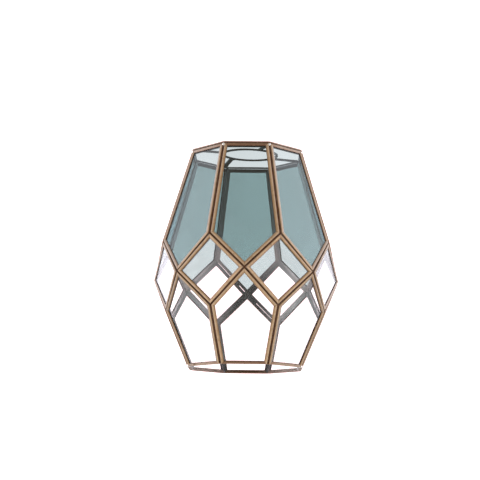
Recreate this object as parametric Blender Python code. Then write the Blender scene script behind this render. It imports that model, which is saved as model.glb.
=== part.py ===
"""Eight-sided leaded-glass lampshade, open at the top and the bottom.

Metres, +Z up. The origin is on the shade's axis, in the plane that its bottom edge rests on.
Bearings are degrees about +Z, counted from the front (-Y) towards +X.

Each flat pane sits in its own mitred U-channel came, and the cames stand side by side along
the seams. Three courses of panes make the shade: eight upper pentagons with their points down,
eight diamonds between their points, and eight lower pentagons with their points up.
An eight-sided band caps the upper cames. A fitter ring hangs in the top opening on four strip
arms, and it leans a little.
"""

import math

import bmesh
import bpy
from mathutils import Euler, Vector

SIDES = 8
SECTOR = 360 / SIDES
HALF = SECTOR / 2

# Corners of the outer faces, as (radius, height) from the axis.
TOP = (0.0523, 0.1888)
SHOULDER = (0.07745, 0.1065)
WAIST = (0.0808, 0.0762)
HIP = (0.0738, 0.0463)
FOOT = (0.0527, -0.0005)

# Glass and its U-channel came.
GLASS_THICKNESS = 0.0018
SLIP = 0.0002
EDGE_GAP = 0.0003
CAME_FACE = 0.0027
WEB = 0.0004
OUTER_FLANGE = 0.00060
INNER_FLANGE = 0.00035
FOLD_RADIUS = 0.0008
FOLD_SEGMENTS = 5
FACE_FALL = 0.0003
FACE_SEGMENTS = 4
LIP = 0.00018
BACK_FOLD_RADIUS = 0.0004
BACK_FOLD_SEGMENTS = 3
SEAM_GAP = 0.0003

SLOT = GLASS_THICKNESS + 2 * SLIP
CAME_DEPTH = OUTER_FLANGE + SLOT + INNER_FLANGE

# Band that caps the upper cames, in the planes of the upper facets.
BAND_GAP = 0.0003
BAND_HEIGHT = 0.0015
BAND_PROUD = 0.0001
BAND_FOLD_RADIUS = 0.0006
BAND_FOLD_SEGMENTS = 4
BAND_EASE = 0.0002

# Fitter ring and its arms, all cut from one gauge of strip.
RING_INNER_RADIUS = 0.0226
RING_WIDTH = 0.0018
RING_SEGMENTS = 72
STRIP_THICKNESS = 0.0010
JOINT_GAP = 0.0003
# The ring was soldered in a little off the shade's axis and out of level: its back is high.
RING_CENTRE = Vector((0.0020, -0.0031, 0.1891))
RING_RISE_TO_BACK = 2.5
RING_RISE_TO_LEFT = 1.4
# name: bearing of the ring end from the ring's centre, bearing of the rim end from the axis,
# height of the rim end, width. One arm missed its corner.
ARMS = {
    "front_right": (21.0, 22.5, 0.1874, 0.0029),
    "right_back": (126.5, 112.5, 0.1889, 0.0030),
    "back_left": (221.5, 207.0, 0.1899, 0.0036),
    "left_front": (286.0, 292.5, 0.1889, 0.0030),
}


def direction(bearing):
    """Level unit vector at a bearing."""
    turn = math.radians(bearing)
    return Vector((math.sin(turn), -math.cos(turn), 0.0))


def corner(ring, bearing):
    radius, height = ring
    return direction(bearing) * radius + Vector((0.0, 0.0, height))


# ---------------------------------------------------------------- panels


class Panel:
    """One flat facet that faces the front: its plane, its outline in the plane and its seams.

    ring_points are (ring, bearing) pairs, counter-clockwise as seen from outside.
    seams holds, for the edge that starts at each corner, the neighbour facet's index in
    FACETS and the bearing that it is turned to, or None along a free edge.
    """

    def __init__(self, ring_points, seams):
        self.seams = seams
        corners = [corner(ring, bearing) for ring, bearing in ring_points]
        # The four or five corners are within half a millimetre of one plane: take the best one.
        self.centre = sum(corners, Vector()) / len(corners)
        spread = [point - self.centre for point in corners]
        rise = sum(p.z * p.z for p in spread)
        lean = sum(p.y * p.z for p in spread) / rise
        self.up = Vector((0.0, lean, 1.0)).normalized()
        self.across = Vector((1.0, 0.0, 0.0))
        self.normal = self.across.cross(self.up)
        self.outline = [(p.dot(self.across), p.dot(self.up)) for p in spread]

    def point(self, flat, depth):
        """A point of the plane, moved inwards by a depth."""
        across, up = flat
        return self.centre + self.across * across + self.up * up - self.normal * depth

    def setbacks(self):
        """How far the came stands back from each edge, so that the back folds clear."""
        distances = []
        for seam in self.seams:
            if seam is None:
                distances.append(0.0)
                continue
            name, bearing = seam
            other = turned(FACETS[name].normal, bearing)
            half_angle = self.normal.angle(other) / 2
            sine, cosine = math.sin(half_angle), math.cos(half_angle)
            rounding = BACK_FOLD_RADIUS * (sine + cosine - 1)
            distances.append((CAME_DEPTH * sine - rounding + SEAM_GAP / 2) / cosine)
        return distances

    def inset(self, distance):
        """The outline with every edge moved inwards by its setback and a distance more."""
        return inset_outline(self.outline, [s + distance for s in self.setbacks()])


def turned(vector, bearing):
    """A vector of the front facet, carried round to a bearing."""
    turn = math.radians(bearing)
    cosine, sine = math.cos(turn), math.sin(turn)
    return Vector((vector.x * cosine - vector.y * sine, vector.x * sine + vector.y * cosine, vector.z))


def inset_outline(points, distances):
    """Corners of a convex outline whose edges are each moved inwards by their own distance."""
    count = len(points)
    lines = []
    for i in range(count):
        (x0, y0), (x1, y1) = points[i], points[(i + 1) % count]
        length = math.hypot(x1 - x0, y1 - y0)
        inward = (-(y1 - y0) / length, (x1 - x0) / length)
        lines.append((inward, inward[0] * x0 + inward[1] * y0 + distances[i]))
    result = []
    for i in range(count):
        (a, b), c = lines[i - 1]
        (d, e), f = lines[i]
        determinant = a * e - b * d
        result.append(((c * e - b * f) / determinant, (a * f - c * d) / determinant))
    return result


UPPER_POINTS = [(WAIST, 0), (SHOULDER, HALF), (TOP, HALF), (TOP, -HALF), (SHOULDER, -HALF)]
DIAMOND_POINTS = [(HIP, 0), (WAIST, HALF), (SHOULDER, 0), (WAIST, -HALF)]
LOWER_POINTS = [(FOOT, -HALF), (FOOT, HALF), (HIP, HALF), (WAIST, 0), (HIP, -HALF)]

FACETS = {
    "upper": Panel(
        UPPER_POINTS,
        [("diamond", HALF), ("upper", SECTOR), None, ("upper", -SECTOR), ("diamond", -HALF)],
    ),
    "diamond": Panel(
        DIAMOND_POINTS,
        [("lower", HALF), ("upper", HALF), ("upper", -HALF), ("lower", -HALF)],
    ),
    "lower": Panel(
        LOWER_POINTS,
        [None, ("lower", SECTOR), ("diamond", HALF), ("diamond", -HALF), ("lower", -SECTOR)],
    ),
}


# ---------------------------------------------------------------- meshes


def finish_mesh(name, bm, smooth_angle=None):
    bmesh.ops.recalc_face_normals(bm, faces=bm.faces)
    mesh = bpy.data.meshes.new(name)
    bm.to_mesh(mesh)
    bm.free()
    if smooth_angle is not None:
        mesh.shade_smooth()
        mesh.set_sharp_from_angle(angle=math.radians(smooth_angle))
    return mesh


def fold(radius, segments, centre_depth, sense):
    """A quarter round at the channel's web; sense is 1 from the web to the face, -1 the other way."""
    points = []
    for i in range(segments + 1):
        turn = math.pi / 2 * i / segments
        if sense < 0:
            turn = math.pi / 2 - turn
        points.append((radius * (1 - math.cos(turn)), centre_depth - sense * radius * math.sin(turn)))
    return points


def came_profile():
    """Section of the U-channel: (distance in from the edge, depth behind the outer face)."""
    profile = fold(FOLD_RADIUS, FOLD_SEGMENTS, FOLD_RADIUS, 1)
    width = CAME_FACE - LIP - FOLD_RADIUS
    for i in range(1, FACE_SEGMENTS + 1):
        share = i / FACE_SEGMENTS
        profile.append((FOLD_RADIUS + width * share, FACE_FALL * share * share))
    slot_back = OUTER_FLANGE + SLOT
    profile += [
        (CAME_FACE, FACE_FALL + LIP),
        (CAME_FACE, OUTER_FLANGE),
        (WEB, OUTER_FLANGE),
        (WEB, slot_back),
        (CAME_FACE, slot_back),
        (CAME_FACE - LIP, CAME_DEPTH),
    ]
    return profile + fold(BACK_FOLD_RADIUS, BACK_FOLD_SEGMENTS, CAME_DEPTH - BACK_FOLD_RADIUS, -1)


def came_channel(panel):
    """The U-channel folded round the pane, with mitred corners."""
    bm = bmesh.new()
    loops = []
    for distance, depth in came_profile():
        flats = panel.inset(distance)
        loops.append([bm.verts.new(panel.point(flat, depth)) for flat in flats])
    for i, loop in enumerate(loops):
        ahead = loops[(i + 1) % len(loops)]
        for j in range(len(loop)):
            k = (j + 1) % len(loop)
            bm.faces.new((loop[j], loop[k], ahead[k], ahead[j]))
    return bm


def dress_foot(bm):
    """Files the bottom edge flat at height 0, where the shade stands."""
    bmesh.ops.bisect_plane(
        bm,
        geom=bm.verts[:] + bm.edges[:] + bm.faces[:],
        plane_co=(0.0, 0.0, 0.0),
        plane_no=(0.0, 0.0, -1.0),
        clear_outer=True,
    )
    bmesh.ops.holes_fill(bm, edges=[edge for edge in bm.edges if edge.is_boundary])


def pane_mesh(name, panel):
    """A flat pane, let into the channel by all but the web and the edge gap."""
    bm = bmesh.new()
    flats = panel.inset(WEB + EDGE_GAP)
    front_depth = OUTER_FLANGE + SLIP
    front = [bm.verts.new(panel.point(flat, front_depth)) for flat in flats]
    back = [bm.verts.new(panel.point(flat, front_depth + GLASS_THICKNESS)) for flat in flats]
    bm.faces.new(front)
    bm.faces.new(back[::-1])
    for j in range(len(front)):
        k = (j + 1) % len(front)
        bm.faces.new((front[k], front[j], back[j], back[k]))
    return finish_mesh(name, bm)


def band_mesh(name):
    """The eight-sided band that caps the upper cames, one closed hoop."""
    panel = FACETS["upper"]
    top_edge = panel.outline[2][1]
    low = top_edge + BAND_GAP
    high = low + BAND_HEIGHT
    profile = [(low, BAND_EASE - BAND_PROUD), (low + BAND_EASE, -BAND_PROUD)]
    for i in range(BAND_FOLD_SEGMENTS + 1):
        turn = math.pi / 2 * i / BAND_FOLD_SEGMENTS
        drop = BAND_FOLD_RADIUS * (1 - math.sin(turn))
        profile.append((high - drop, BAND_FOLD_RADIUS * (1 - math.cos(turn)) - BAND_PROUD))
    for i in range(BAND_FOLD_SEGMENTS + 1):
        turn = math.pi / 2 * i / BAND_FOLD_SEGMENTS
        drop = BAND_FOLD_RADIUS * (1 - math.cos(turn))
        profile.append((high - drop, CAME_DEPTH - BAND_FOLD_RADIUS * (1 - math.sin(turn))))
    profile += [(low + BAND_EASE, CAME_DEPTH), (low, CAME_DEPTH - BAND_EASE)]
    bm = bmesh.new()
    hoops = []
    for rise, depth in profile:
        middle = panel.point((0.0, rise), depth)
        ring = (-middle.y / math.cos(math.radians(HALF)), middle.z)
        hoops.append([bm.verts.new(corner(ring, HALF + SECTOR * i)) for i in range(SIDES)])
    for i, hoop in enumerate(hoops):
        ahead = hoops[(i + 1) % len(hoops)]
        for j in range(SIDES):
            k = (j + 1) % SIDES
            bm.faces.new((hoop[j], hoop[k], ahead[k], ahead[j]))
    return finish_mesh(name, bm, smooth_angle=30)


RING_TILT = Euler((math.radians(RING_RISE_TO_BACK), math.radians(RING_RISE_TO_LEFT), 0.0))


def ring_mesh(name):
    """The flat fitter ring, level and centred on the origin."""
    bm = bmesh.new()
    inner, outer = RING_INNER_RADIUS, RING_INNER_RADIUS + RING_WIDTH
    half = STRIP_THICKNESS / 2
    hoops = []
    for radius, height in ((inner, -half), (outer, -half), (outer, half), (inner, half)):
        bearings = [360 * i / RING_SEGMENTS for i in range(RING_SEGMENTS)]
        hoops.append([bm.verts.new(corner((radius, height), bearing)) for bearing in bearings])
    for i, hoop in enumerate(hoops):
        ahead = hoops[(i + 1) % len(hoops)]
        for j in range(RING_SEGMENTS):
            k = (j + 1) % RING_SEGMENTS
            bm.faces.new((hoop[j], hoop[k], ahead[k], ahead[j]))
    return finish_mesh(name, bm, smooth_angle=30)


def reach_ring(start, heading):
    """Where a line on its way in stops, just outside the ring's outer edge."""
    clear = RING_INNER_RADIUS + RING_WIDTH + JOINT_GAP
    level = start - RING_CENTRE
    level.z = 0.0
    flat = Vector((heading.x, heading.y, 0.0))
    a = flat.length_squared
    b = level.dot(flat)
    c = level.length_squared - clear * clear
    return start + heading * ((-b - math.sqrt(b * b - a * c)) / a)


def rim_apothem(height):
    """How far the rim's inner faces stand from the axis at a height, less the joint's gap."""
    panel = FACETS["upper"]
    edge = panel.point((0.0, panel.outline[2][1]), CAME_DEPTH)
    lean = panel.up.y / panel.up.z
    return -(edge.y + lean * (height - edge.z)) - JOINT_GAP


def reach_rim(start, heading, apothem):
    """Where a line from inside meets the rim's inner faces."""
    reach = math.inf
    for side in range(SIDES):
        outward = direction(SECTOR * side)
        closing = heading.dot(outward)
        if closing > 1e-6:
            reach = min(reach, (apothem - start.dot(outward)) / closing)
    return start + heading * reach


def arm_mesh(name, ring_bearing, rim_bearing, rim_height, width):
    """A flat strip from the ring's outer edge to the rim, both ends cut to fit."""
    radius = RING_INNER_RADIUS + RING_WIDTH
    ring_end = RING_CENTRE + RING_TILT.to_matrix() @ (direction(ring_bearing) * radius)
    apothem = rim_apothem(rim_height + STRIP_THICKNESS / 2)
    rim_end = reach_rim(Vector((0.0, 0.0, rim_height)), direction(rim_bearing), apothem)
    heading = (ring_end - rim_end).normalized()
    sideways = heading.cross(Vector((0.0, 0.0, 1.0))).normalized() * (width / 2)
    thick = Vector((0.0, 0.0, STRIP_THICKNESS / 2))
    ring_side, rim_side = [], []
    for offset in (-sideways, Vector(), sideways):
        start = rim_end.lerp(ring_end, 0.3) + offset
        rim_side.append(reach_rim(start, -heading, apothem))
        ring_side.append(reach_ring(rim_side[-1], heading))
    outline = ring_side + rim_side[::-1]
    bm = bmesh.new()
    low = [bm.verts.new(point - thick) for point in outline]
    high = [bm.verts.new(point + thick) for point in outline]
    for face in (low[::-1], high):
        bmesh.ops.triangulate(bm, faces=[bm.faces.new(face)])
    for j in range(len(outline)):
        k = (j + 1) % len(outline)
        bm.faces.new((low[j], low[k], high[k], high[j]))
    return finish_mesh(name, bm)


# ---------------------------------------------------------------- materials


def principled(name, color, roughness, metallic=0.0, transmission=0.0):
    material = bpy.data.materials.new(name)
    material.use_nodes = True
    shader = material.node_tree.nodes["Principled BSDF"]
    shader.inputs["Base Color"].default_value = (*color, 1.0)
    shader.inputs["Roughness"].default_value = roughness
    shader.inputs["Metallic"].default_value = metallic
    shader.inputs["Transmission Weight"].default_value = transmission
    shader.inputs["IOR"].default_value = 1.5
    material.diffuse_color = (*color, 1.0)
    return material


# ---------------------------------------------------------------- assembly


def place(name, mesh, material, parent, bearing=0.0):
    if not mesh.materials:
        mesh.materials.append(material)
    obj = bpy.data.objects.new(name, mesh)
    obj.rotation_euler.z = math.radians(bearing)
    obj.parent = parent
    bpy.context.scene.collection.objects.link(obj)
    return obj


def build_panels(axis, glass, came_metal):
    for course, panel in FACETS.items():
        pane = pane_mesh(f"{course}_pane", panel)
        channel = came_channel(panel)
        if course == "lower":
            dress_foot(channel)
        came = finish_mesh(f"{course}_came", channel, smooth_angle=30)
        first = HALF if course == "diamond" else 0.0
        for side in range(SIDES):
            bearing = first + SECTOR * side
            place(f"{course}_pane_{side + 1}", pane, glass[course], axis, bearing)
            place(f"{course}_came_{side + 1}", came, came_metal, axis, bearing)


def build_fitter(axis, metal):
    ring = place("fitter_ring", ring_mesh("fitter_ring"), metal, axis)
    ring.location = RING_CENTRE
    ring.rotation_euler = RING_TILT
    for name, measures in ARMS.items():
        mesh = arm_mesh(f"fitter_arm_{name}", *measures)
        place(f"fitter_arm_{name}", mesh, metal, axis)


def main():
    for obj in list(bpy.data.objects):
        bpy.data.objects.remove(obj)
    smoked = principled("smoked_glass", (0.52, 0.62, 0.63), 0.05, transmission=1.0)
    clear = principled("clear_glass", (0.95, 0.98, 0.98), 0.03, transmission=1.0)
    copper = principled("antique_copper", (0.55, 0.33, 0.19), 0.38, metallic=1.0)
    dark = principled("dark_bronze", (0.045, 0.04, 0.036), 0.45, metallic=0.8)
    axis = bpy.data.objects.new("shade_axis", None)
    bpy.context.scene.collection.objects.link(axis)
    build_panels(axis, {"upper": smoked, "diamond": clear, "lower": clear}, copper)
    place("top_band", band_mesh("top_band"), copper, axis)
    build_fitter(axis, dark)


main()
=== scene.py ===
"""Looks of the eight-sided leaded-glass lampshade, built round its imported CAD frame.

Metres, +Z up, in the frame's own axes. Bearings are degrees about +Z from the front (-Y)
towards +X. The CAD panes, fitter ring and arms stay and get their finishes here. The CAD cames
and the band on top are replaced by the same folded strips at a finer resolution, with mitre
creases and the slight unevenness of hand work. The solder that joins them is added.
"""

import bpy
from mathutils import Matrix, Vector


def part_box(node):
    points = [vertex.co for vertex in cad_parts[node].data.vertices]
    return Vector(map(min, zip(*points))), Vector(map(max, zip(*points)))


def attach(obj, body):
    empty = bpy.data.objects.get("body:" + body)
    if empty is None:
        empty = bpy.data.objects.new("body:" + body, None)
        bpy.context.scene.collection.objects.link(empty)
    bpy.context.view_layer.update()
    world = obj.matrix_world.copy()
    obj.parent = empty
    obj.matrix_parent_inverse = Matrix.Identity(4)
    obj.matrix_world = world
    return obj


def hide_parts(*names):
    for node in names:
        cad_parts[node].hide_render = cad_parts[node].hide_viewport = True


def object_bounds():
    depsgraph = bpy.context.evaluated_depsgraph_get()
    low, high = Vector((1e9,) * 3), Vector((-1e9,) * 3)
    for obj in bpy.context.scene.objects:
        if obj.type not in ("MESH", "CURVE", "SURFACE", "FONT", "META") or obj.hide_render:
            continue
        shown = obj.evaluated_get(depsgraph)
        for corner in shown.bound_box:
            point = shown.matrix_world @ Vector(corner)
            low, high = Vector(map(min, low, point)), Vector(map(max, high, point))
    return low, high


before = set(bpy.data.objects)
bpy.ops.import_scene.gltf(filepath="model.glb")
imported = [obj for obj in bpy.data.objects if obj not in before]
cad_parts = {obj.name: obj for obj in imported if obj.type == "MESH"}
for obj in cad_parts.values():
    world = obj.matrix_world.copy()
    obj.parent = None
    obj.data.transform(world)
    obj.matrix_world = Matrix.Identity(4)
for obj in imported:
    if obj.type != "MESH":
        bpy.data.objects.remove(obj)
CAD_BOX = [list(corner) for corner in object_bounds()]

import math

import bmesh
import bpy
from mathutils import Matrix, Vector, noise

# ---------------------------------------------------------------- dimensions of the CAD part

SIDES = 8
SECTOR = 360 / SIDES
HALF = SECTOR / 2

# Corners of the outer faces, as (radius, height) from the axis.
TOP = (0.0523, 0.1888)
SHOULDER = (0.07745, 0.1065)
WAIST = (0.0808, 0.0762)
HIP = (0.0738, 0.0463)
FOOT = (0.0527, -0.0005)

CAME_FACE = 0.0027
WEB = 0.0004
OUTER_FLANGE = 0.00060
SLOT = 0.0022
CAME_DEPTH = 0.00315
FOLD_RADIUS = 0.0008
FACE_FALL = 0.0003
LIP = 0.00018
BACK_FOLD_RADIUS = 0.0004
SEAM_GAP = 0.0003

BAND_GAP = 0.0003
BAND_HEIGHT = 0.0015
BAND_PROUD = 0.0001
BAND_FOLD_RADIUS = 0.0006
BAND_EASE = 0.0002

# ---------------------------------------------------------------- fineness of the visual model

FOLD_SEGMENTS = 7
FACE_SEGMENTS = 5
LIP_SEGMENTS = 3
BACK_FOLD_SEGMENTS = 4
ROW_SPACING = 0.006
MITRE_HALF_WIDTH = 0.00035
MITRE_SINK = 0.00009
RIM_BACK_REACH = 0.0006
WANDER = 0.00006
WANDER_SCALE = 70.0
WANDER_SEED = 7
BAND_FOLD_SEGMENTS = 5
BAND_CORNER_RADIUS = 0.0045

MM = 0.001


def direction(bearing):
    """Level unit vector at a bearing."""
    turn = math.radians(bearing)
    return Vector((math.sin(turn), -math.cos(turn), 0.0))


def ring_point(ring, bearing):
    radius, height = ring
    return direction(bearing) * radius + Vector((0.0, 0.0, height))


def turned(vector, bearing):
    """A vector of a front facet, carried round to a bearing."""
    return Matrix.Rotation(math.radians(bearing), 3, "Z") @ vector


def inset_outline(points, distances):
    """Corners of a convex outline whose edges are each moved inwards by their own distance."""
    lines = []
    for i, (x0, y0) in enumerate(points):
        x1, y1 = points[(i + 1) % len(points)]
        length = math.hypot(x1 - x0, y1 - y0)
        inward = (-(y1 - y0) / length, (x1 - x0) / length)
        lines.append((inward, inward[0] * x0 + inward[1] * y0 + distances[i]))
    result = []
    for i in range(len(points)):
        (a, b), c = lines[i - 1]
        (d, e), f = lines[i]
        determinant = a * e - b * d
        result.append(((c * e - b * f) / determinant, (a * f - c * d) / determinant))
    return result


class Panel:
    """One flat facet that faces the front, as in the CAD source.

    seams holds, for the edge that starts at each corner, the neighbour facet's name and the
    bearing that it is turned to, or None along a free edge.
    """

    def __init__(self, ring_points, seams):
        self.ring_points = ring_points
        self.seams = seams
        corners = [ring_point(ring, bearing) for ring, bearing in ring_points]
        self.centre = sum(corners, Vector()) / len(corners)
        spread = [point - self.centre for point in corners]
        lean = sum(p.y * p.z for p in spread) / sum(p.z * p.z for p in spread)
        self.up = Vector((0.0, lean, 1.0)).normalized()
        self.across = Vector((1.0, 0.0, 0.0))
        self.normal = self.across.cross(self.up)
        self.outline = [(p.dot(self.across), p.dot(self.up)) for p in spread]

    def point(self, flat, depth):
        """A point of the plane, moved inwards by a depth."""
        return self.centre + self.across * flat[0] + self.up * flat[1] - self.normal * depth

    def setbacks(self):
        """How far the came stands back from each edge, so that the back folds clear."""
        distances = []
        for seam in self.seams:
            if seam is None:
                distances.append(0.0)
                continue
            half_angle = self.half_angle(seam)
            sine, cosine = math.sin(half_angle), math.cos(half_angle)
            rounding = BACK_FOLD_RADIUS * (sine + cosine - 1)
            distances.append((CAME_DEPTH * sine - rounding + SEAM_GAP / 2) / cosine)
        return distances

    def half_angle(self, seam):
        name, bearing = seam
        return self.normal.angle(turned(FACETS[name].normal, bearing)) / 2

    def inset(self, distance, rim_reach=0.0):
        """The outline with every edge moved inwards by its setback and a distance more.

        rim_reach is added along the edge of the top opening.
        """
        distances = [setback + distance for setback in self.setbacks()]
        for edge, (ring, _) in enumerate(self.ring_points):
            if self.seams[edge] is None and ring is TOP:
                distances[edge] += rim_reach
        return inset_outline(self.outline, distances)


FACETS = {
    "upper": Panel(
        [(WAIST, 0), (SHOULDER, HALF), (TOP, HALF), (TOP, -HALF), (SHOULDER, -HALF)],
        [("diamond", HALF), ("upper", SECTOR), None, ("upper", -SECTOR), ("diamond", -HALF)],
    ),
    "diamond": Panel(
        [(HIP, 0), (WAIST, HALF), (SHOULDER, 0), (WAIST, -HALF)],
        [("lower", HALF), ("upper", HALF), ("upper", -HALF), ("lower", -HALF)],
    ),
    "lower": Panel(
        [(FOOT, -HALF), (FOOT, HALF), (HIP, HALF), (WAIST, 0), (HIP, -HALF)],
        [None, ("lower", SECTOR), ("diamond", HALF), ("diamond", -HALF), ("lower", -SECTOR)],
    ),
}


def first_bearing(course):
    return HALF if course == "diamond" else 0.0


# ---------------------------------------------------------------- pieces


def add_piece(name, bm, material, smooth_angle=40):
    """Turns a bmesh into a piece of the shade that rides on the one body."""
    bmesh.ops.recalc_face_normals(bm, faces=bm.faces)
    mesh = bpy.data.meshes.new(name)
    bm.to_mesh(mesh)
    bm.free()
    mesh.shade_smooth()
    mesh.set_sharp_from_angle(angle=math.radians(smooth_angle))
    mesh.materials.append(material)
    piece = bpy.data.objects.new(name, mesh)
    bpy.context.scene.collection.objects.link(piece)
    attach(piece, "root")
    return piece


def came_section():
    """Section of the U-channel, outer fold first: (distance, depth, recess, inner, wear).

    distance is in from the edge and depth is behind the outer face. recess is 1 in the
    channel's hollows, where oxide and painted shade go, inner is 1 where it faces the lamp,
    and the last mark is 1 on the crest, where a painted highlight goes, and 0 at the lip, in
    painted shade.
    """
    section = []
    for i in range(FOLD_SEGMENTS + 1):
        turn = math.pi / 2 * i / FOLD_SEGMENTS
        place = (FOLD_RADIUS * (1 - math.cos(turn)), FOLD_RADIUS * (1 - math.sin(turn)))
        share = i / FOLD_SEGMENTS
        section.append((*place, max(0.0, 0.6 - 3 * share), 0.0, min(1.0, 2 * share)))
    width = CAME_FACE - LIP - FOLD_RADIUS
    for i in range(1, FACE_SEGMENTS + 1):
        share = i / FACE_SEGMENTS
        place = (FOLD_RADIUS + width * share, FACE_FALL * share * share)
        section.append((*place, 0.0, 0.0, 1 - share))
    for i in range(1, LIP_SEGMENTS + 1):
        turn = math.pi / 2 * i / LIP_SEGMENTS
        place = (CAME_FACE - LIP * (1 - math.sin(turn)), FACE_FALL + LIP * (1 - math.cos(turn)))
        section.append((*place, 0.8 * i / LIP_SEGMENTS, 0.0, 0.0))
    slot_back = OUTER_FLANGE + SLOT
    section += [
        (CAME_FACE, OUTER_FLANGE, 1.0, 0.0, 0.0),
        (WEB, OUTER_FLANGE, 1.0, 0.5, 0.0),
        (WEB, slot_back, 1.0, 0.5, 0.0),
        (CAME_FACE, slot_back, 1.0, 1.0, 0.0),
        (CAME_FACE - LIP * 0.4, CAME_DEPTH - 0.08 * MM, 0.4, 1.0, 0.0),
        (CAME_FACE - LIP * 1.6, CAME_DEPTH, 0.2, 1.0, 0.0),
    ]
    for i in range(BACK_FOLD_SEGMENTS + 1):
        turn = math.pi / 2 * (1 - i / BACK_FOLD_SEGMENTS)
        place = (
            BACK_FOLD_RADIUS * (1 - math.cos(turn)),
            CAME_DEPTH - BACK_FOLD_RADIUS * (1 - math.sin(turn)),
        )
        section.append((*place, 0.3 + 0.7 * i / BACK_FOLD_SEGMENTS, 1.0, 0.0))
    return section


def section_normals(section):
    """Outward normals of the closed section, as (distance, depth) pairs."""
    normals = []
    for i in range(len(section)):
        before, after = section[i - 1], section[(i + 1) % len(section)]
        along = (after[0] - before[0], after[1] - before[1])
        length = math.hypot(*along)
        normals.append((along[1] / length, -along[0] / length))
    return normals


def edge_stations(length):
    """(share of the edge, depth of the mitre crease there) along one side of a channel."""
    crease = MITRE_HALF_WIDTH / length
    rows = max(2, round(length / ROW_SPACING))
    stations = [(0.0, 1.0), (crease, 0.0)]
    stations += [(i / rows, 0.0) for i in range(1, rows)]
    return stations + [(1 - crease, 0.0)]


# The third mark places a painted highlight on the crest and painted shade at the lip.
MARKS = ("recess", "inner", "crest_light", "mitre", "rim")


def hand_made(place, seed):
    """A point moved by the slight unevenness of hand work."""
    return place + noise.noise_vector(place * WANDER_SCALE + Vector((seed, 0, 0))) * WANDER


def strip_mesh(section, rows, run, seed):
    """A closed strip from rows of points: each is (points, (mitre, rim) marks, distance along).

    Every vertex carries its section's and its row's marks, and every face corner its place on
    the strip.
    """
    bm = bmesh.new()
    layers = {key: bm.verts.layers.float.new(key) for key in MARKS}
    strip = bm.loops.layers.float_vector.new("strip")
    made = []
    for points, row_marks, along in rows:
        row = []
        for point, (_, _, *marks) in zip(points, section):
            vert = bm.verts.new(hand_made(point, seed))
            for key, value in zip(MARKS, (*marks, *row_marks)):
                vert[layers[key]] = value
            row.append(vert)
        made.append((row, along))
    across = [0.0]
    for k in range(1, len(section) + 1):
        step = Vector(section[k % len(section)][:2]) - Vector(section[k - 1][:2])
        across.append(across[-1] + step.length)
    for j, (row, start) in enumerate(made):
        ahead, end = made[(j + 1) % len(made)]
        end = end if j + 1 < len(made) else run
        for k in range(len(section)):
            m = (k + 1) % len(section)
            face = bm.faces.new((row[k], ahead[k], ahead[m], row[m]))
            places = (across[k], across[k], across[k + 1], across[k + 1])
            for loop, along, place in zip(face.loops, (start, end, end, start), places):
                loop[strip] = (along, place, seed)
    return bm


def came_mesh(panel, bearing, seed):
    """One folded channel round a pane, with creased mitres."""
    section = came_section()
    normals = section_normals(section)
    # At the top opening the back flange reaches further than the face; its fold doesn't move.
    reach = [RIM_BACK_REACH if inner == 1 else 0.0 for _, _, _, inner, _ in section]
    reach[-BACK_FOLD_SEGMENTS - 1 :] = [0.0] * (BACK_FOLD_SEGMENTS + 1)
    insets = [panel.inset(place[0], extra) for place, extra in zip(section, reach)]
    rows, run = [], 0.0
    corners = len(panel.outline)
    for side in range(corners):
        ahead = (side + 1) % corners
        length = (Vector(insets[0][ahead]) - Vector(insets[0][side])).length
        rim = float(panel.seams[side] is None)
        for share, crease in edge_stations(length):
            points = []
            for k, (_, depth, *_) in enumerate(section):
                flat = Vector(insets[k][side]).lerp(Vector(insets[k][ahead]), share)
                sunk = depth + crease * MITRE_SINK * max(0.0, -normals[k][1])
                points.append(turned(panel.point(flat, sunk), bearing))
            rows.append((points, (crease, rim), run + share * length))
        run += length
    return strip_mesh(section, rows, run, seed)


def band_section():
    """Section of the band on top: (rise above the top edge, depth, recess, inner, wear)."""
    low = BAND_GAP
    high = low + BAND_HEIGHT
    section = [
        # The last value of each point is its share of the painted crest highlight; low values get
        # painted shade.
        (low, BAND_EASE - BAND_PROUD, 0.4, 0.0, 0.0),
        (low + BAND_EASE, -BAND_PROUD, 0.1, 0.0, 0.2),
        (low + 2 * BAND_EASE, -BAND_PROUD, 0.0, 0.0, 0.5),
    ]
    for i in range(BAND_FOLD_SEGMENTS + 1):
        turn = math.pi / 2 * i / BAND_FOLD_SEGMENTS
        rise = high - BAND_FOLD_RADIUS * (1 - math.sin(turn))
        depth = BAND_FOLD_RADIUS * (1 - math.cos(turn)) - BAND_PROUD
        section.append((rise, depth, 0.7 * i / BAND_FOLD_SEGMENTS, 0.0, 0.5))
    for i in range(BAND_FOLD_SEGMENTS + 1):
        turn = math.pi / 2 * i / BAND_FOLD_SEGMENTS
        rise = high - BAND_FOLD_RADIUS * (1 - math.cos(turn))
        depth = CAME_DEPTH - BAND_FOLD_RADIUS * (1 - math.sin(turn))
        section.append((rise, depth, 0.4, min(1.0, 2 * i / BAND_FOLD_SEGMENTS), 0.3))
    section += [
        (low + BAND_EASE, CAME_DEPTH, 0.3, 1.0, 0.0),
        (low, CAME_DEPTH - BAND_EASE, 0.9, 1.0, 0.0),
    ]
    return section


def band_stations(length):
    """(distance from the side's start, how far the rounded corner falls inside the mitre)."""
    tangent = BAND_CORNER_RADIUS * math.tan(math.radians(HALF))
    rounding = []
    for share in (0.0, 0.3, 0.65, 1.0):
        left = tangent * (1 - share)
        fall = BAND_CORNER_RADIUS - math.sqrt(BAND_CORNER_RADIUS**2 - left**2)
        rounding.append((tangent * share, fall))
    rows = round(length / ROW_SPACING)
    middle = [(length * i / rows, 0.0) for i in range(1, rows)]
    return rounding + middle + [(length - place, fall) for place, fall in rounding[:0:-1]]


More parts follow.
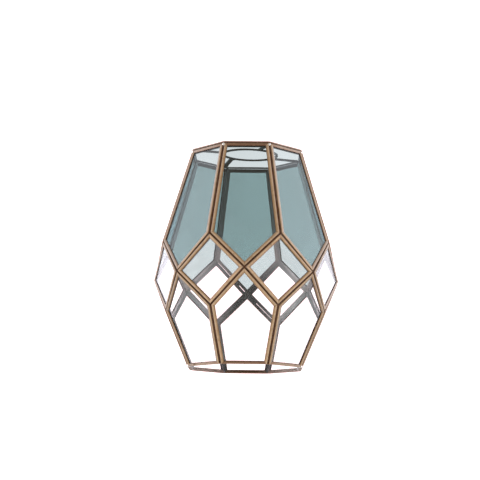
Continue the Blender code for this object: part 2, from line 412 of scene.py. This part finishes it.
def band_mesh(seed):
    """The eight-sided band on top of the upper channels, with eased corners."""
    panel = FACETS["upper"]
    top_edge = panel.outline[2][1]
    section = band_section()
    hoops = []
    for rise, depth, *_ in section:
        middle = panel.point((0.0, top_edge + rise), depth)
        hoops.append((-middle.y / math.cos(math.radians(HALF)), middle.z))
    length = 2 * hoops[0][0] * math.sin(math.radians(HALF))
    rows = []
    for side in range(SIDES):
        first = HALF + SECTOR * side
        for place, fall in band_stations(length):
            points = []
            for hoop in hoops:
                start, end = ring_point(hoop, first), ring_point(hoop, first + SECTOR)
                point = start.lerp(end, place / length)
                inward = Vector((point.x, point.y, 0.0)).normalized() * -fall
                points.append(point + inward)
            rows.append((points, (0.0, 1.0), side * length + place))
    return strip_mesh(section, rows, SIDES * length, seed)


def build_cames(material):
    """Every came of the CAD part again, at the finer resolution."""
    seed = 0
    for course, panel in FACETS.items():
        for side in range(SIDES):
            bearing = first_bearing(course) + SECTOR * side
            seed += 1
            bm = came_mesh(panel, bearing, seed * 3.7)
            if course == "lower":
                for vert in bm.verts:
                    vert.co.z = max(vert.co.z, 0.0)
            piece = add_piece(f"came_{course}_{side + 1}", bm, material)
            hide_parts(f"{course}_came_{side + 1}")


def build_band(material):
    piece = add_piece("rim_band", band_mesh(101.3), material)
    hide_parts("top_band")


# ---------------------------------------------------------------- solder


def seam_list():
    """Every seam once: (course, edge, bearing of its panel, neighbour, its edge, its bearing)."""
    seams, seen = [], set()
    for course, panel in FACETS.items():
        for side in range(SIDES):
            bearing = first_bearing(course) + SECTOR * side
            for edge, seam in enumerate(panel.seams):
                if seam is None:
                    continue
                name, offset = seam
                other = (bearing + offset) % 360
                other_edge = matching_edge(panel, edge, bearing, FACETS[name], other)
                key = frozenset(((course, edge, bearing % 360), (name, other_edge, other)))
                if key not in seen:
                    seen.add(key)
                    seams.append((course, edge, bearing, name, other_edge, other))
    return seams


def matching_edge(panel, edge, bearing, other_panel, other_bearing):
    """The neighbour's edge that runs between the same two corners."""
    count = len(panel.ring_points)
    ends = [panel.ring_points[edge], panel.ring_points[(edge + 1) % count]]
    wanted = {(ring, round((b + bearing) % 360, 3)) for ring, b in ends}
    others = other_panel.ring_points
    for j in range(len(others)):
        pair = [others[j], others[(j + 1) % len(others)]]
        if {(ring, round((b + other_bearing) % 360, 3)) for ring, b in pair} == wanted:
            return j
    raise ValueError("no neighbour edge")


def wall_line(course, edge, bearing, depth):
    """The two ends of a channel's outside wall along an edge, at a depth."""
    panel = FACETS[course]
    flats = panel.inset(0.0)
    ends = (flats[edge], flats[(edge + 1) % len(flats)])
    return [turned(panel.point(flat, depth), bearing) for flat in ends]


def seam_frame(seam):
    """Slit line at the back of the channels, its outward direction and its half angle."""
    course, edge, bearing, name, other_edge, other = seam
    first = wall_line(course, edge, bearing, CAME_DEPTH)
    second = wall_line(name, other_edge, other, CAME_DEPTH)[::-1]
    start, end = (a.lerp(b, 0.5) for a, b in zip(first, second))
    normals = turned(FACETS[course].normal, bearing), turned(FACETS[name].normal, other)
    outward = (normals[0] + normals[1]).normalized()
    return start, end, outward, normals[0].angle(normals[1]) / 2


# Two seams at the back were missed in places, and light comes through. Each stretch is a pair
# of shares of the seam, from its upper end.
OPEN_STRETCHES = {
    frozenset({("upper", 180.0), ("diamond", 202.5)}): ((0.05, 0.52), (0.74, 0.92)),
    frozenset({("diamond", 157.5), ("lower", 180.0)}): ((0.30, 0.84),),
}


def filled_stretches(seam):
    """The shares of a seam that were soldered, from its upper end."""
    ends = frozenset({(seam[0], seam[2] % 360), (seam[3], seam[5] % 360)})
    stretches, start = [], 0.0
    for low, high in OPEN_STRETCHES.get(ends, ()):
        stretches.append((start, low))
        start = high
    return stretches + [(start, 1.0)]


# How far the solder of a seam bites into the channels' walls, and sags between them.
SEAM_BITE = 0.10 * MM
SEAM_SAG = 0.25 * MM
# Distance between the rings of a seam's solder, and how full it is: mean and variation.
SEAM_STEP = 2.2 * MM
SEAM_FILL = (1.35, 0.30)


def fillet_section(half_angle, fill, bead):
    """Solder in a V seam: (sideways, outward) points, from the slit line."""

    def wall(height):
        return SEAM_GAP / 2 + height * math.tan(half_angle) + SEAM_BITE

    top, middle = fill, fill - SEAM_SAG
    right = [
        (0.22 * MM, -bead),
        (0.42 * MM, -bead * 0.3),
        (wall(0.45 * MM), 0.35 * MM),
        (wall(top), top),
    ]
    left = [(-x, y) for x, y in right[::-1]]
    return right + [(0.0, middle)] + left + [(0.0, -bead * 1.25)]


def solder_mesh():
    """An empty mesh whose vertices can be marked as facing the lamp."""
    bm = bmesh.new()
    bm.verts.layers.float.new("inner")
    return bm


def seam_solder(bm, seam, stretch, seed):
    """A run of solder along a stretch of a seam, uneven in height as the iron left it."""
    start, end, outward, half_angle = seam_frame(seam)
    if start.z < end.z:
        start, end = end, start
    start, end = start.lerp(end, stretch[0]), start.lerp(end, stretch[1])
    along = (end - start).normalized()
    sideways = along.cross(outward).normalized()
    outward = sideways.cross(along).normalized()
    count = max(3, round((end - start).length / SEAM_STEP))
    inner = bm.verts.layers.float["inner"]
    rings = []
    for i in range(count + 1):
        centre = start.lerp(end, i / count)
        swell = noise.noise(centre * 260 + Vector((seed, 0, 0)))
        fill = (SEAM_FILL[0] + SEAM_FILL[1] * swell) * MM
        bead = (0.16 + 0.16 * noise.noise(centre * 330 - Vector((seed, 0, 0)))) * MM
        section = fillet_section(half_angle, fill, max(bead, 0.02 * MM))
        rings.append([bm.verts.new(centre + sideways * x + outward * y) for x, y in section])
        for vert, (_, y) in zip(rings[-1], section):
            vert[inner] = float(y < 0.2 * MM)
    for ring, ahead in zip(rings, rings[1:]):
        for k in range(len(ring)):
            m = (k + 1) % len(ring)
            bm.faces.new((ring[k], ring[m], ahead[m], ahead[k]))
    bm.faces.new(rings[0][::-1])
    bm.faces.new(rings[-1])


def build_seam_solder(material):
    groups = {
        frozenset(("upper",)): "seam_solder_upper",
        frozenset(("upper", "diamond")): "seam_solder_shoulder",
        frozenset(("diamond", "lower")): "seam_solder_hip",
        frozenset(("lower",)): "seam_solder_lower",
    }
    meshes = {name: solder_mesh() for name in groups.values()}
    for number, seam in enumerate(seam_list()):
        bm = meshes[groups[frozenset((seam[0], seam[3]))]]
        for stretch in filled_stretches(seam):
            seam_solder(bm, seam, stretch, number * 1.9)
    for name, bm in meshes.items():
        add_piece(name, bm, material, smooth_angle=50)


def blob(bm, centre, outward, size, seed, roughness=0.16):
    """A lump of solder: size is its half-width along the surface and half-height outwards."""
    made = bmesh.ops.create_icosphere(bm, subdivisions=3, radius=1.0)["verts"]
    basis = outward.normalized().to_track_quat("Z", "Y").to_matrix()
    inner = bm.verts.layers.float["inner"]
    for vert in made:
        lump = 1 + roughness * noise.noise(vert.co * 1.6 + Vector((seed, seed * 0.37, 0)))
        lump += 0.4 * roughness * noise.noise(vert.co * 4.1 - Vector((seed, 0, 0)))
        vert[inner] = float(vert.co.z < 0)
        shaped = Vector((vert.co.x * size[0], vert.co.y * size[0], vert.co.z * size[1])) * lump
        vert.co = centre + basis @ shaped


def corner_centre(ring, bearing, depth):
    """Middle of the channel corners that meet at a corner of the shade, at a depth."""
    found, outward = [], Vector()
    for course, panel in FACETS.items():
        flats = panel.inset(0.0)
        for side in range(SIDES):
            offset = first_bearing(course) + SECTOR * side
            for i, (own_ring, own_bearing) in enumerate(panel.ring_points):
                same = abs((own_bearing + offset - bearing + 180) % 360 - 180) < 0.01
                if own_ring == ring and same:
                    found.append(turned(panel.point(flats[i], depth), offset))
                    outward += turned(panel.normal, offset)
    return sum(found, Vector()) / len(found), outward.normalized()


# ring: (piece name, first bearing, depth of the lump's centre, how far it is raised,
# half-width, half-height)
CORNERS = {
    TOP: ("corner_solder_top", HALF, 1.10 * MM, -0.8 * MM, 1.50 * MM, 1.30 * MM),
    SHOULDER: ("corner_solder_shoulder", HALF, 2.75 * MM, 0.0, 1.45 * MM, 0.95 * MM),
    WAIST: ("corner_solder_waist", 0.0, 2.75 * MM, 0.0, 1.55 * MM, 0.95 * MM),
    HIP: ("corner_solder_hip", HALF, 2.75 * MM, 0.0, 1.45 * MM, 0.95 * MM),
    FOOT: ("corner_solder_foot", HALF, 1.35 * MM, 0.75 * MM, 1.45 * MM, 1.25 * MM),
}

# The lumps at the top and at two foot corners are nearly white, partly the tin's own colour
# and partly painted glints. The two at the foot are also fuller, and stand out further.
BRIGHT_FEET = (67.5, 292.5)
BRIGHT_FOOT_SCALE = 1.2
BRIGHT_FOOT_SHIFT = 0.25 * MM

# The solder stops this far above the plane that the shade rests on.
FOOT_CLEARANCE = 0.02 * MM


def build_corner_solder(patinated, bright):
    """A lump at every corner of the shade, inside the height of the CAD part."""
    top = CAD_BOX[1][2]
    for ring, (name, first, depth, rise, half_width, half_height) in CORNERS.items():
        bm, glinting = solder_mesh(), solder_mesh()
        for side in range(SIDES):
            bearing = first + SECTOR * side
            centre, outward = corner_centre(ring, bearing, depth)
            seed = 11.3 * side + 2.1 * depth / MM
            scale = 1 + 0.14 * noise.noise(Vector((seed, 1.7, 0)))
            centre.z += rise
            # Two of the feet are painted nearly white, as painted glints.
            bright_foot = ring is FOOT and bearing in BRIGHT_FEET
            if bright_foot:
                scale *= BRIGHT_FOOT_SCALE
                centre += outward * BRIGHT_FOOT_SHIFT
            target = glinting if bright_foot or ring is TOP else bm
            blob(target, centre, outward, (half_width * scale, half_height * scale), seed)
        for part, finish, suffix in ((bm, patinated, ""), (glinting, bright, "_bright")):
            for vert in part.verts:
                vert.co.z = min(max(vert.co.z, FOOT_CLEARANCE), top)
            if part.verts:
                add_piece(name + suffix, part, finish, smooth_angle=80)
            else:
                part.free()


# Lumps at an arm's ring end and at its rim end: (half-width, half-height, shift along the arm)
ARM_LUMPS = (
    (1.55 * MM, 0.62 * MM, -0.4 * MM),
    (1.75 * MM, 0.85 * MM, 0.2 * MM),
)


def build_fitter_solder(material):
    """Lumps where the arms meet the ring and the rim, placed from the arms' own corners."""
    low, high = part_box("fitter_ring")
    middle = (low + high) / 2
    arms = [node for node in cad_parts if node.startswith("fitter_arm_")]
    bm = solder_mesh()
    for number, node in enumerate(sorted(arms)):
        points = [vert.co.copy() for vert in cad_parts[node].data.vertices]
        points.sort(key=lambda point: (point - middle).length)
        ends = (sum(points[:4], Vector()) / 4, sum(points[-4:], Vector()) / 4)
        along = (ends[1] - ends[0]).normalized()
        for k, (end, (half_width, half_height, shift)) in enumerate(zip(ends, ARM_LUMPS)):
            seed = 5.9 * number + 3.1 * k
            centre = end + along * shift
            blob(bm, centre, Vector((0, 0, 1)), (half_width, half_height), seed, roughness=0.22)
    for vert in bm.verts:
        vert.co.z = min(vert.co.z, CAD_BOX[1][2])
    add_piece("fitter_solder", bm, material, smooth_angle=80)


# ---------------------------------------------------------------- node helpers


class Nodes:
    """Short calls for building one material's node tree."""

    def __init__(self, name):
        self.material = bpy.data.materials.new(name)
        self.material.use_nodes = True
        self.tree = self.material.node_tree
        self.shader = self.tree.nodes["Principled BSDF"]

    def make(self, kind, **settings):
        node = self.tree.nodes.new(kind)
        for key, value in settings.items():
            setattr(node, key, value)
        return node

    def put(self, socket, value):
        """Links a socket, or sets a plain value."""
        if isinstance(value, bpy.types.NodeSocket):
            self.tree.links.new(value, socket)
        else:
            socket.default_value = value

    def attribute(self, name, vector=False):
        node = self.make("ShaderNodeAttribute", attribute_name=name)
        return node.outputs["Vector" if vector else "Fac"]

    def place(self):
        return self.make("ShaderNodeTexCoord").outputs["Object"]

    def scaled(self, vector, scale):
        node = self.make("ShaderNodeMapping")
        self.put(node.inputs["Vector"], vector)
        node.inputs["Scale"].default_value = scale
        return node.outputs["Vector"]

    def noise(self, vector, scale, detail=4.0, roughness=0.55, distortion=0.0):
        node = self.make("ShaderNodeTexNoise")
        self.put(node.inputs["Vector"], vector)
        node.inputs["Scale"].default_value = scale
        node.inputs["Detail"].default_value = detail
        node.inputs["Roughness"].default_value = roughness
        node.inputs["Distortion"].default_value = distortion
        return node.outputs["Fac"]

    def math(self, operation, a, b=0.0, clamp=False):
        node = self.make("ShaderNodeMath", operation=operation, use_clamp=clamp)
        self.put(node.inputs[0], a)
        self.put(node.inputs[1], b)
        return node.outputs[0]

    def span(self, value, low, high, to_low=0.0, to_high=1.0):
        """Maps a range of a value onto another, clamped."""
        node = self.make("ShaderNodeMapRange", clamp=True)
        self.put(node.inputs["Value"], value)
        node.inputs["From Min"].default_value = low
        node.inputs["From Max"].default_value = high
        node.inputs["To Min"].default_value = to_low
        node.inputs["To Max"].default_value = to_high
        return node.outputs["Result"]

    def mix(self, share, a, b):
        node = self.make("ShaderNodeMix", data_type="RGBA")
        self.put(node.inputs["Factor"], share)
        for socket, value in ((node.inputs[6], a), (node.inputs[7], b)):
            self.put(socket, (*value, 1.0) if isinstance(value, tuple) else value)
        return node.outputs[2]

    def bump(self, height, strength, distance):
        node = self.make("ShaderNodeBump")
        self.put(node.inputs["Height"], height)
        node.inputs["Strength"].default_value = strength
        node.inputs["Distance"].default_value = distance
        return node.outputs["Normal"]

    def finish(self, **sockets):
        for name, value in sockets.items():
            socket = self.shader.inputs[name.replace("_", " ")]
            self.put(socket, (*value, 1.0) if isinstance(value, tuple) else value)
        return self.material


# ---------------------------------------------------------------- materials

COPPER_WORN_AND_HIGHLIGHT = (0.74, 0.545, 0.35)
COPPER = (0.50, 0.345, 0.20)
COPPER_DULL = (0.36, 0.212, 0.105)
COPPER_LIP_SHADE = (0.26, 0.148, 0.078)
OXIDE_AND_SHADE = (0.15, 0.064, 0.028)
GRAZING_SHEEN = (0.37, 0.322, 0.28)
RIM_SHADE = (0.22, 0.115, 0.075)
TOP_RIM_SHADE = (0.012, 0.009, 0.010)
BACK_METAL = (0.60, 0.53, 0.54)
BACK_RIGHT_LIGHT = (0.84, 0.76, 0.75)
BACK_WAIST_SHADE = (0.40, 0.35, 0.35)
BACK_MIDDLE_SHADE = (0.007, 0.005, 0.005)
SOLDER = (0.42, 0.40, 0.37)
SOLDER_PATINA = (0.075, 0.031, 0.013)
SOLDER_PATINA_THIN = (0.18, 0.082, 0.033)
TIN_DULL = (0.84, 0.80, 0.74)
TIN_BRIGHT = (0.98, 0.97, 0.95)
TIN_STAIN = (0.36, 0.29, 0.22)
BRONZE = (0.010, 0.009, 0.0085)
BRONZE_THIN = (0.032, 0.026, 0.022)
BRONZE_RUBBED = (0.16, 0.10, 0.06)
SMOKE = (0.313, 0.44, 0.445)
SMOKE_STREAK = (0.332, 0.469, 0.476)
CLEAR = (0.95, 0.965, 0.965)
CLEAR_STREAK = (0.92, 0.94, 0.945)
FLOOR_PALE = (0.82, 0.845, 0.81)
FLOOR_PALER = (0.85, 0.875, 0.84)


def lamp_side(n, place):
    """Colour of the metal that faces the lamp, and the place's X, Y and Z.

    It is greyer than the outside, with painted light on the right, painted shade out at the
    waist, and painted shade deepest in the middle of the back.
    """
    split = n.make("ShaderNodeSeparateXYZ")
    n.put(split.inputs[0], place)
    x, y, z = split.outputs
    # Painted light: lighter towards the right.
    colour = n.mix(n.span(x, 0.010, 0.045), BACK_METAL, BACK_RIGHT_LIGHT)
    # Painted shade out at the waist.
    waist = n.span(n.math("ABSOLUTE", x), 0.042, 0.056)
    waist = n.math("MULTIPLY", waist, n.span(z, 0.100, 0.118, 1.0, 0.0))
    colour = n.mix(waist, colour, BACK_WAIST_SHADE)
    # Painted shade, deepest in the middle of the back.
    middle = n.span(n.math("ABSOLUTE", x), 0.008, 0.042, 1.0, 0.0)
    patina = n.math("MULTIPLY", middle, n.span(y, 0.0, 0.03), clamp=True)
    return n.mix(patina, colour, BACK_MIDDLE_SHADE), split.outputs


def outer_copper(n, cloud, stain, brushed):
    """Colour of the channels' outer faces: brushed copper, with a painted highlight along its
    crests and painted shade towards the lip.
    """
    crest_light = n.attribute("crest_light")
    body = n.mix(n.span(cloud, 0.32, 0.68), COPPER_DULL, COPPER)
    body = n.mix(n.math("MULTIPLY", n.span(brushed, 0.45, 0.75), 0.35), body, COPPER_WORN_AND_HIGHLIGHT)
    # Painted shade, deepening from the crest towards the lip.
    body = n.mix(n.math("MULTIPLY", n.span(crest_light, 0.0, 0.9, 1.0, 0.0), 0.75), body, COPPER_LIP_SHADE)
    # Painted highlight along the crest, broken up by the stains.
    crest = n.math("MULTIPLY", crest_light, n.span(stain, 0.25, 0.55), clamp=True)
    body = n.mix(n.math("MULTIPLY", crest, 0.82), body, COPPER_WORN_AND_HIGHLIGHT)
    # Painted sheen: seen along its surface, the metal is painted greyer, standing for its
    # reflection of the studio.
    grazing = n.make("ShaderNodeLayerWeight").outputs["Facing"]
    return n.mix(n.span(grazing, 0.14, 0.44, 0.0, 0.85), body, GRAZING_SHEEN)


def antique_copper():
    n = Nodes("antique_copper")
    place = n.place()
    strip = n.attribute("strip", vector=True)
    cloud = n.noise(place, 60.0, detail=6.0, roughness=0.6)
    stain = n.noise(place, 210.0, detail=5.0, roughness=0.65, distortion=0.6)
    brushed = n.noise(n.scaled(strip, (160.0, 3800.0, 1.0)), 1.0, detail=3.0)
    pits = n.noise(place, 1700.0, detail=2.0)
    recess = n.attribute("recess")
    rim = n.attribute("rim")
    inner = n.attribute("inner")

    # Oxide in spots; in the recesses, oxide with painted shade.
    body = outer_copper(n, cloud, stain, brushed)
    spots = n.math("MULTIPLY", n.span(stain, 0.60, 0.74), 0.55)
    body = n.mix(spots, body, OXIDE_AND_SHADE)
    dark = n.math("MULTIPLY", recess, n.span(stain, 0.2, 0.7, 1.0, 0.72), clamp=True)
    body = n.mix(dark, body, OXIDE_AND_SHADE)

    # Painted shade: the rims are darker at the front and the back than at the sides.
    lamp_colour, (x, _, z) = lamp_side(n, place)
    front_back_shade = n.span(n.math("ABSOLUTE", x), 0.018, 0.030, 0.75, 0.15)
    body = n.mix(n.math("MULTIPLY", rim, front_back_shade), body, RIM_SHADE)

    # The side towards the lamp is grey, copper again along the bottom rim, and darkened by painted
    # shade at the top.
    low_rim = n.math("MULTIPLY", rim, n.span(z, 0.03, 0.01))
    grey = n.math("SUBTRACT", 1.0, n.math("MULTIPLY", low_rim, 0.75))
    body = n.mix(n.math("MULTIPLY", inner, grey), body, lamp_colour)
    # Painted shade on the inside of the top rim.
    top_rim_shade = n.math("MULTIPLY", n.math("MULTIPLY", rim, inner), n.span(z, 0.12, 0.16))
    body = n.mix(n.math("MULTIPLY", top_rim_shade, 0.85), body, TOP_RIM_SHADE)
    body = n.mix(n.math("MULTIPLY", n.attribute("mitre"), 0.55), body, OXIDE_AND_SHADE)

    rough = n.math("ADD", n.span(cloud, 0.3, 0.7, 0.47, 0.58), n.math("MULTIPLY", recess, 0.12))
    rough = n.math("ADD", rough, n.math("MULTIPLY", spots, 0.25))
    rough = n.math("SUBTRACT", rough, n.math("MULTIPLY", inner, 0.16), clamp=True)
    height = n.math("ADD", n.math("MULTIPLY", brushed, 0.6), n.math("MULTIPLY", pits, 0.5))
    height = n.math("ADD", height, n.math("MULTIPLY", stain, 0.8))
    normal = n.bump(height, 0.35, 0.00012)
    metallic = n.span(inner, 0.0, 1.0, 0.85, 1.0)
    return n.finish(Base_Color=body, Metallic=metallic, Roughness=rough, Normal=normal)


def patinated_solder():
    """Solder under a dark copper patina, grey where it faces the lamp."""
    n = Nodes("patinated_solder")
    place = n.place()
    cloud = n.noise(place, 190.0, detail=5.0)
    fine = n.noise(place, 900.0, detail=3.0)
    body = n.mix(n.span(cloud, 0.35, 0.65), SOLDER_PATINA, SOLDER_PATINA_THIN)
    body = n.mix(n.math("MULTIPLY", n.span(fine, 0.62, 0.72), 0.4), body, SOLDER)
    body = n.mix(n.attribute("inner"), body, lamp_side(n, place)[0])
    rough = n.span(cloud, 0.3, 0.7, 0.34, 0.5)
    normal = n.bump(n.math("ADD", cloud, n.math("MULTIPLY", fine, 0.4)), 0.45, 0.0003)
    return n.finish(Base_Color=body, Metallic=1.0, Roughness=rough, Normal=normal)


def bright_solder():
    """Bare solder, nearly white with a few brown stains; its white is partly a painted glint."""
    n = Nodes("bright_solder")
    place = n.place()
    cloud = n.noise(place, 240.0, detail=5.0)
    fine = n.noise(place, 1100.0, detail=3.0)
    body = n.mix(n.span(cloud, 0.38, 0.62), TIN_DULL, TIN_BRIGHT)
    body = n.mix(n.math("MULTIPLY", n.span(fine, 0.66, 0.76), 0.15), body, TIN_STAIN)
    rough = n.span(fine, 0.3, 0.7, 0.10, 0.24)
    normal = n.bump(n.math("ADD", cloud, n.math("MULTIPLY", fine, 0.3)), 0.35, 0.0003)
    return n.finish(Base_Color=body, Metallic=0.85, Roughness=rough, Normal=normal)


def dark_bronze():
    """The near-black coating of the fitter ring and its arms, rubbed in places."""
    n = Nodes("dark_bronze")
    place = n.place()
    cloud = n.noise(place, 110.0, detail=5.0)
    fine = n.noise(place, 1300.0, detail=2.0)
    body = n.mix(n.span(cloud, 0.35, 0.68), BRONZE, BRONZE_THIN)
    body = n.mix(n.math("MULTIPLY", n.span(fine, 0.66, 0.74), 0.25), body, BRONZE_RUBBED)
    rough = n.span(cloud, 0.3, 0.7, 0.36, 0.55)
    normal = n.bump(n.math("ADD", cloud, n.math("MULTIPLY", fine, 0.5)), 0.3, 0.00015)
    return n.finish(Base_Color=body, Metallic=0.85, Roughness=rough, Normal=normal)


def sheet_glass(name, tint, streak_tint, streaks):
    """Drawn sheet glass: faint streaks in its colour, a slow wave, and smears."""
    n = Nodes(name)
    place = n.place()
    drawn = n.noise(n.scaled(place, (22.0, 22.0, 5.0)), 1.0, detail=3.0, distortion=0.4)
    smear = n.noise(n.scaled(place, (60.0, 60.0, 28.0)), 1.0, detail=6.0, roughness=0.7)
    wave = n.noise(place, 34.0, detail=1.0)
    body = n.mix(n.math("MULTIPLY", n.span(drawn, 0.3, 0.7), streaks), tint, streak_tint)
    rough = n.span(smear, 0.45, 0.8, 0.004, 0.010)
    normal = n.bump(wave, 0.25, 0.0006)
    n.finish(Base_Color=body, Roughness=rough, Normal=normal)
    n.shader.inputs["Transmission Weight"].default_value = 1.0
    n.shader.inputs["IOR"].default_value = 1.5
    return n.material


# The fitter's coating, and how far it rounds the edges.
COATING = 0.2 * MM
COATED_EDGE = 0.12 * MM


def finish_cad_nodes(smoked, clear, bronze):
    """Finishes of the CAD nodes that stay: the panes, the fitter ring and its arms."""
    for node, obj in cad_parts.items():
        if node.startswith("upper_pane"):
            material = smoked
        elif "_pane_" in node:
            material = clear
        elif node.startswith("fitter"):
            material = bronze
            swell = obj.modifiers.new("coating", "DISPLACE")
            swell.strength = COATING
            swell.mid_level = 0.0
            edge = obj.modifiers.new("edge", "BEVEL")
            edge.width = COATED_EDGE
            edge.segments = 2
            edge.limit_method = "ANGLE"
        else:
            continue
        for slot in obj.material_slots:
            slot.material = material


# ---------------------------------------------------------------- stage

BACKDROP = (2.04, 1.59, 1.61)
FLOOR_LEVEL = -0.75
FLOOR_RADIUS = 9.0
# Levels of the studio, as the shade's own surfaces reflect it: dim all round, with a pale table
# below, cool light from both sides, the white sweep behind the shade and a soft key light high
# in front, in the (Y, Z) direction given.
BASE_LEVEL = 0.26
BELOW_LEVEL = 0.15
SIDE_LEVEL = 1.79
SIDE_FALL = 0.36
SIDE_LEAN = (-0.12, 0.5)
BEHIND_LEVEL = 1.45
KEY_LEVEL = 0.38
KEY_DIRECTION = (-0.73, 0.68)
WARM = (1.08, 1.0, 0.88, 1.0)
COOL = (1.0, 0.96, 1.12, 1.0)

CAMERA_LENS = 96.494
CAMERA_SENSOR = 36.0
CAMERA_LOCATION = (0.019633, -1.11216, -0.094176)
CAMERA_TURN = (100.5621, -0.6786, 1.1777)


def build_world():
    """A white sweep behind the shade, and a soft studio for its reflections."""
    world = bpy.data.worlds.new("studio")
    world.use_nodes = True
    bpy.context.scene.world = world
    tree = world.node_tree
    tree.nodes.clear()

    def node(kind, **settings):
        made = tree.nodes.new(kind)
        for key, value in settings.items():
            setattr(made, key, value)
        return made

    def put(socket, value):
        if isinstance(value, bpy.types.NodeSocket):
            tree.links.new(value, socket)
        else:
            socket.default_value = value

    def sums(operation, a, b=0.0):
        made = node("ShaderNodeMath", operation=operation)
        put(made.inputs[0], a)
        put(made.inputs[1], b)
        return made.outputs[0]

    def ramp(value, low, high, peak):
        """A smooth rise from 0 at low to a peak at high."""
        made = node("ShaderNodeMapRange", interpolation_type="SMOOTHSTEP")
        put(made.inputs["Value"], value)
        for name, setting in (("From Min", low), ("From Max", high), ("To Max", peak)):
            put(made.inputs[name], setting)
        return made.outputs["Result"]

    split = node("ShaderNodeSeparateXYZ")
    put(split.inputs[0], node("ShaderNodeTexCoord").outputs["Generated"])
    x, y, z = split.outputs
    sideways = sums("POWER", sums("ABSOLUTE", x), 2.6)
    # The side lights are strongest low down. Above, the one on the right is the brighter.
    share = sums("ADD", sums("MULTIPLY", z, SIDE_LEAN[1]), SIDE_LEAN[0])
    lean = sums("ADD", sums("MULTIPLY", x, share), 1.0)
    fall = sums("SUBTRACT", SIDE_LEVEL, sums("MULTIPLY", z, SIDE_FALL))
    sides = sums("MULTIPLY", sums("MULTIPLY", sideways, fall), lean)
    behind = ramp(y, 0.0, 0.75, BEHIND_LEVEL)
    below = ramp(sums("MULTIPLY", z, -1.0), -0.1, 0.6, BELOW_LEVEL)
    aimed = sums("MULTIPLY", y, KEY_DIRECTION[0]), sums("MULTIPLY", z, KEY_DIRECTION[1])
    key = ramp(sums("ADD", *aimed), 0.80, 1.0, KEY_LEVEL)
    level = sums("ADD", sums("ADD", sides, BASE_LEVEL), sums("ADD", behind, below))
    level = sums("ADD", level, key)
    tone = node("ShaderNodeMix", data_type="RGBA")
    low = sums("MAXIMUM", sideways, ramp(sums("MULTIPLY", z, -1.0), -0.2, 0.5, 1.0))
    put(tone.inputs["Factor"], sums("MAXIMUM", low, ramp(y, 0.2, 1.0, 1.0)))
    put(tone.inputs[6], WARM)
    put(tone.inputs[7], COOL)
    studio = node("ShaderNodeBackground")
    put(studio.inputs["Color"], tone.outputs[2])
    put(studio.inputs["Strength"], level)
    sweep = node("ShaderNodeBackground")
    put(sweep.inputs["Color"], (*BACKDROP, 1.0))
    # The sweep is seen straight on and through the panes; whatever has bounced sees the studio.
    path = node("ShaderNodeLightPath")
    bounced = sums("ADD", path.outputs["Glossy Depth"], path.outputs["Diffuse Depth"])
    through = sums("MULTIPLY", path.outputs["Is Transmission Ray"], sums("LESS_THAN", bounced, 0.5))
    seen = sums("MAXIMUM", path.outputs["Is Camera Ray"], through)
    blend = node("ShaderNodeMixShader")
    put(blend.inputs[0], seen)
    put(blend.inputs[1], studio.outputs[0])
    put(blend.inputs[2], sweep.outputs[0])
    put(node("ShaderNodeOutputWorld").inputs["Surface"], blend.outputs[0])


def softbox(name, location, target, size, watts):
    """A soft lamp that isn't seen itself, directly or through the glass."""
    data = bpy.data.lights.new(name, "AREA")
    data.shape = "RECTANGLE"
    data.size, data.size_y = size
    data.energy = watts
    lamp = bpy.data.objects.new(name, data)
    bpy.context.scene.collection.objects.link(lamp)
    lamp.location = location
    heading = Vector(target) - Vector(location)
    lamp.rotation_euler = heading.to_track_quat("-Z", "Y").to_euler()
    lamp.visible_camera = False
    lamp.visible_transmission = False


def build_lights():
    """One softbox overhead; the rest of the light comes from the world."""
    softbox("softbox_top", (0.0, 0.2, 1.9), (0.0, 0.0, 0.095), (1.6, 1.6), 3.0)


def build_floor():
    """A wide pale disc well below the shade, which is shown hanging."""
    n = Nodes("studio_floor")
    grain = n.noise(n.place(), 9.0, detail=4.0)
    body = n.mix(n.span(grain, 0.3, 0.7), FLOOR_PALE, FLOOR_PALER)
    normal = n.bump(n.noise(n.place(), 60.0), 0.05, 0.002)
    material = n.finish(Base_Color=body, Roughness=n.span(grain, 0.3, 0.7, 0.6, 0.7), Normal=normal)
    bm = bmesh.new()
    bmesh.ops.create_circle(bm, cap_ends=True, radius=FLOOR_RADIUS, segments=128)
    mesh = bpy.data.meshes.new("floor")
    bm.to_mesh(mesh)
    bm.free()
    mesh.materials.append(material)
    floor = bpy.data.objects.new("floor", mesh)
    floor.location.z = FLOOR_LEVEL
    bpy.context.scene.collection.objects.link(floor)


def build_camera():
    """Seen from slightly below, with a long lens."""
    data = bpy.data.cameras.new("camera")
    data.lens = CAMERA_LENS
    data.sensor_width = CAMERA_SENSOR
    data.clip_start, data.clip_end = 0.05, 60.0
    camera = bpy.data.objects.new("camera", data)
    camera.location = CAMERA_LOCATION
    camera.rotation_euler = [math.radians(angle) for angle in CAMERA_TURN]
    bpy.context.scene.collection.objects.link(camera)
    bpy.context.scene.camera = camera


# ---------------------------------------------------------------- assembly

# Unseeded, the vector noise behind the unevenness is drawn from the clock.
noise.seed_set(WANDER_SEED)
bpy.context.scene.view_settings.view_transform = "Standard"
build_world()
build_lights()
build_floor()
build_camera()

copper = antique_copper()
patina = patinated_solder()
bronze = dark_bronze()
smoked_glass = sheet_glass("smoked_glass", SMOKE, SMOKE_STREAK, 0.8)
clear_glass = sheet_glass("clear_glass", CLEAR, CLEAR_STREAK, 0.6)

finish_cad_nodes(smoked_glass, clear_glass, bronze)
build_cames(copper)
build_band(copper)
build_seam_solder(patina)
build_corner_solder(patina, bright_solder())
build_fitter_solder(bronze)

bpy.context.view_layer.update()
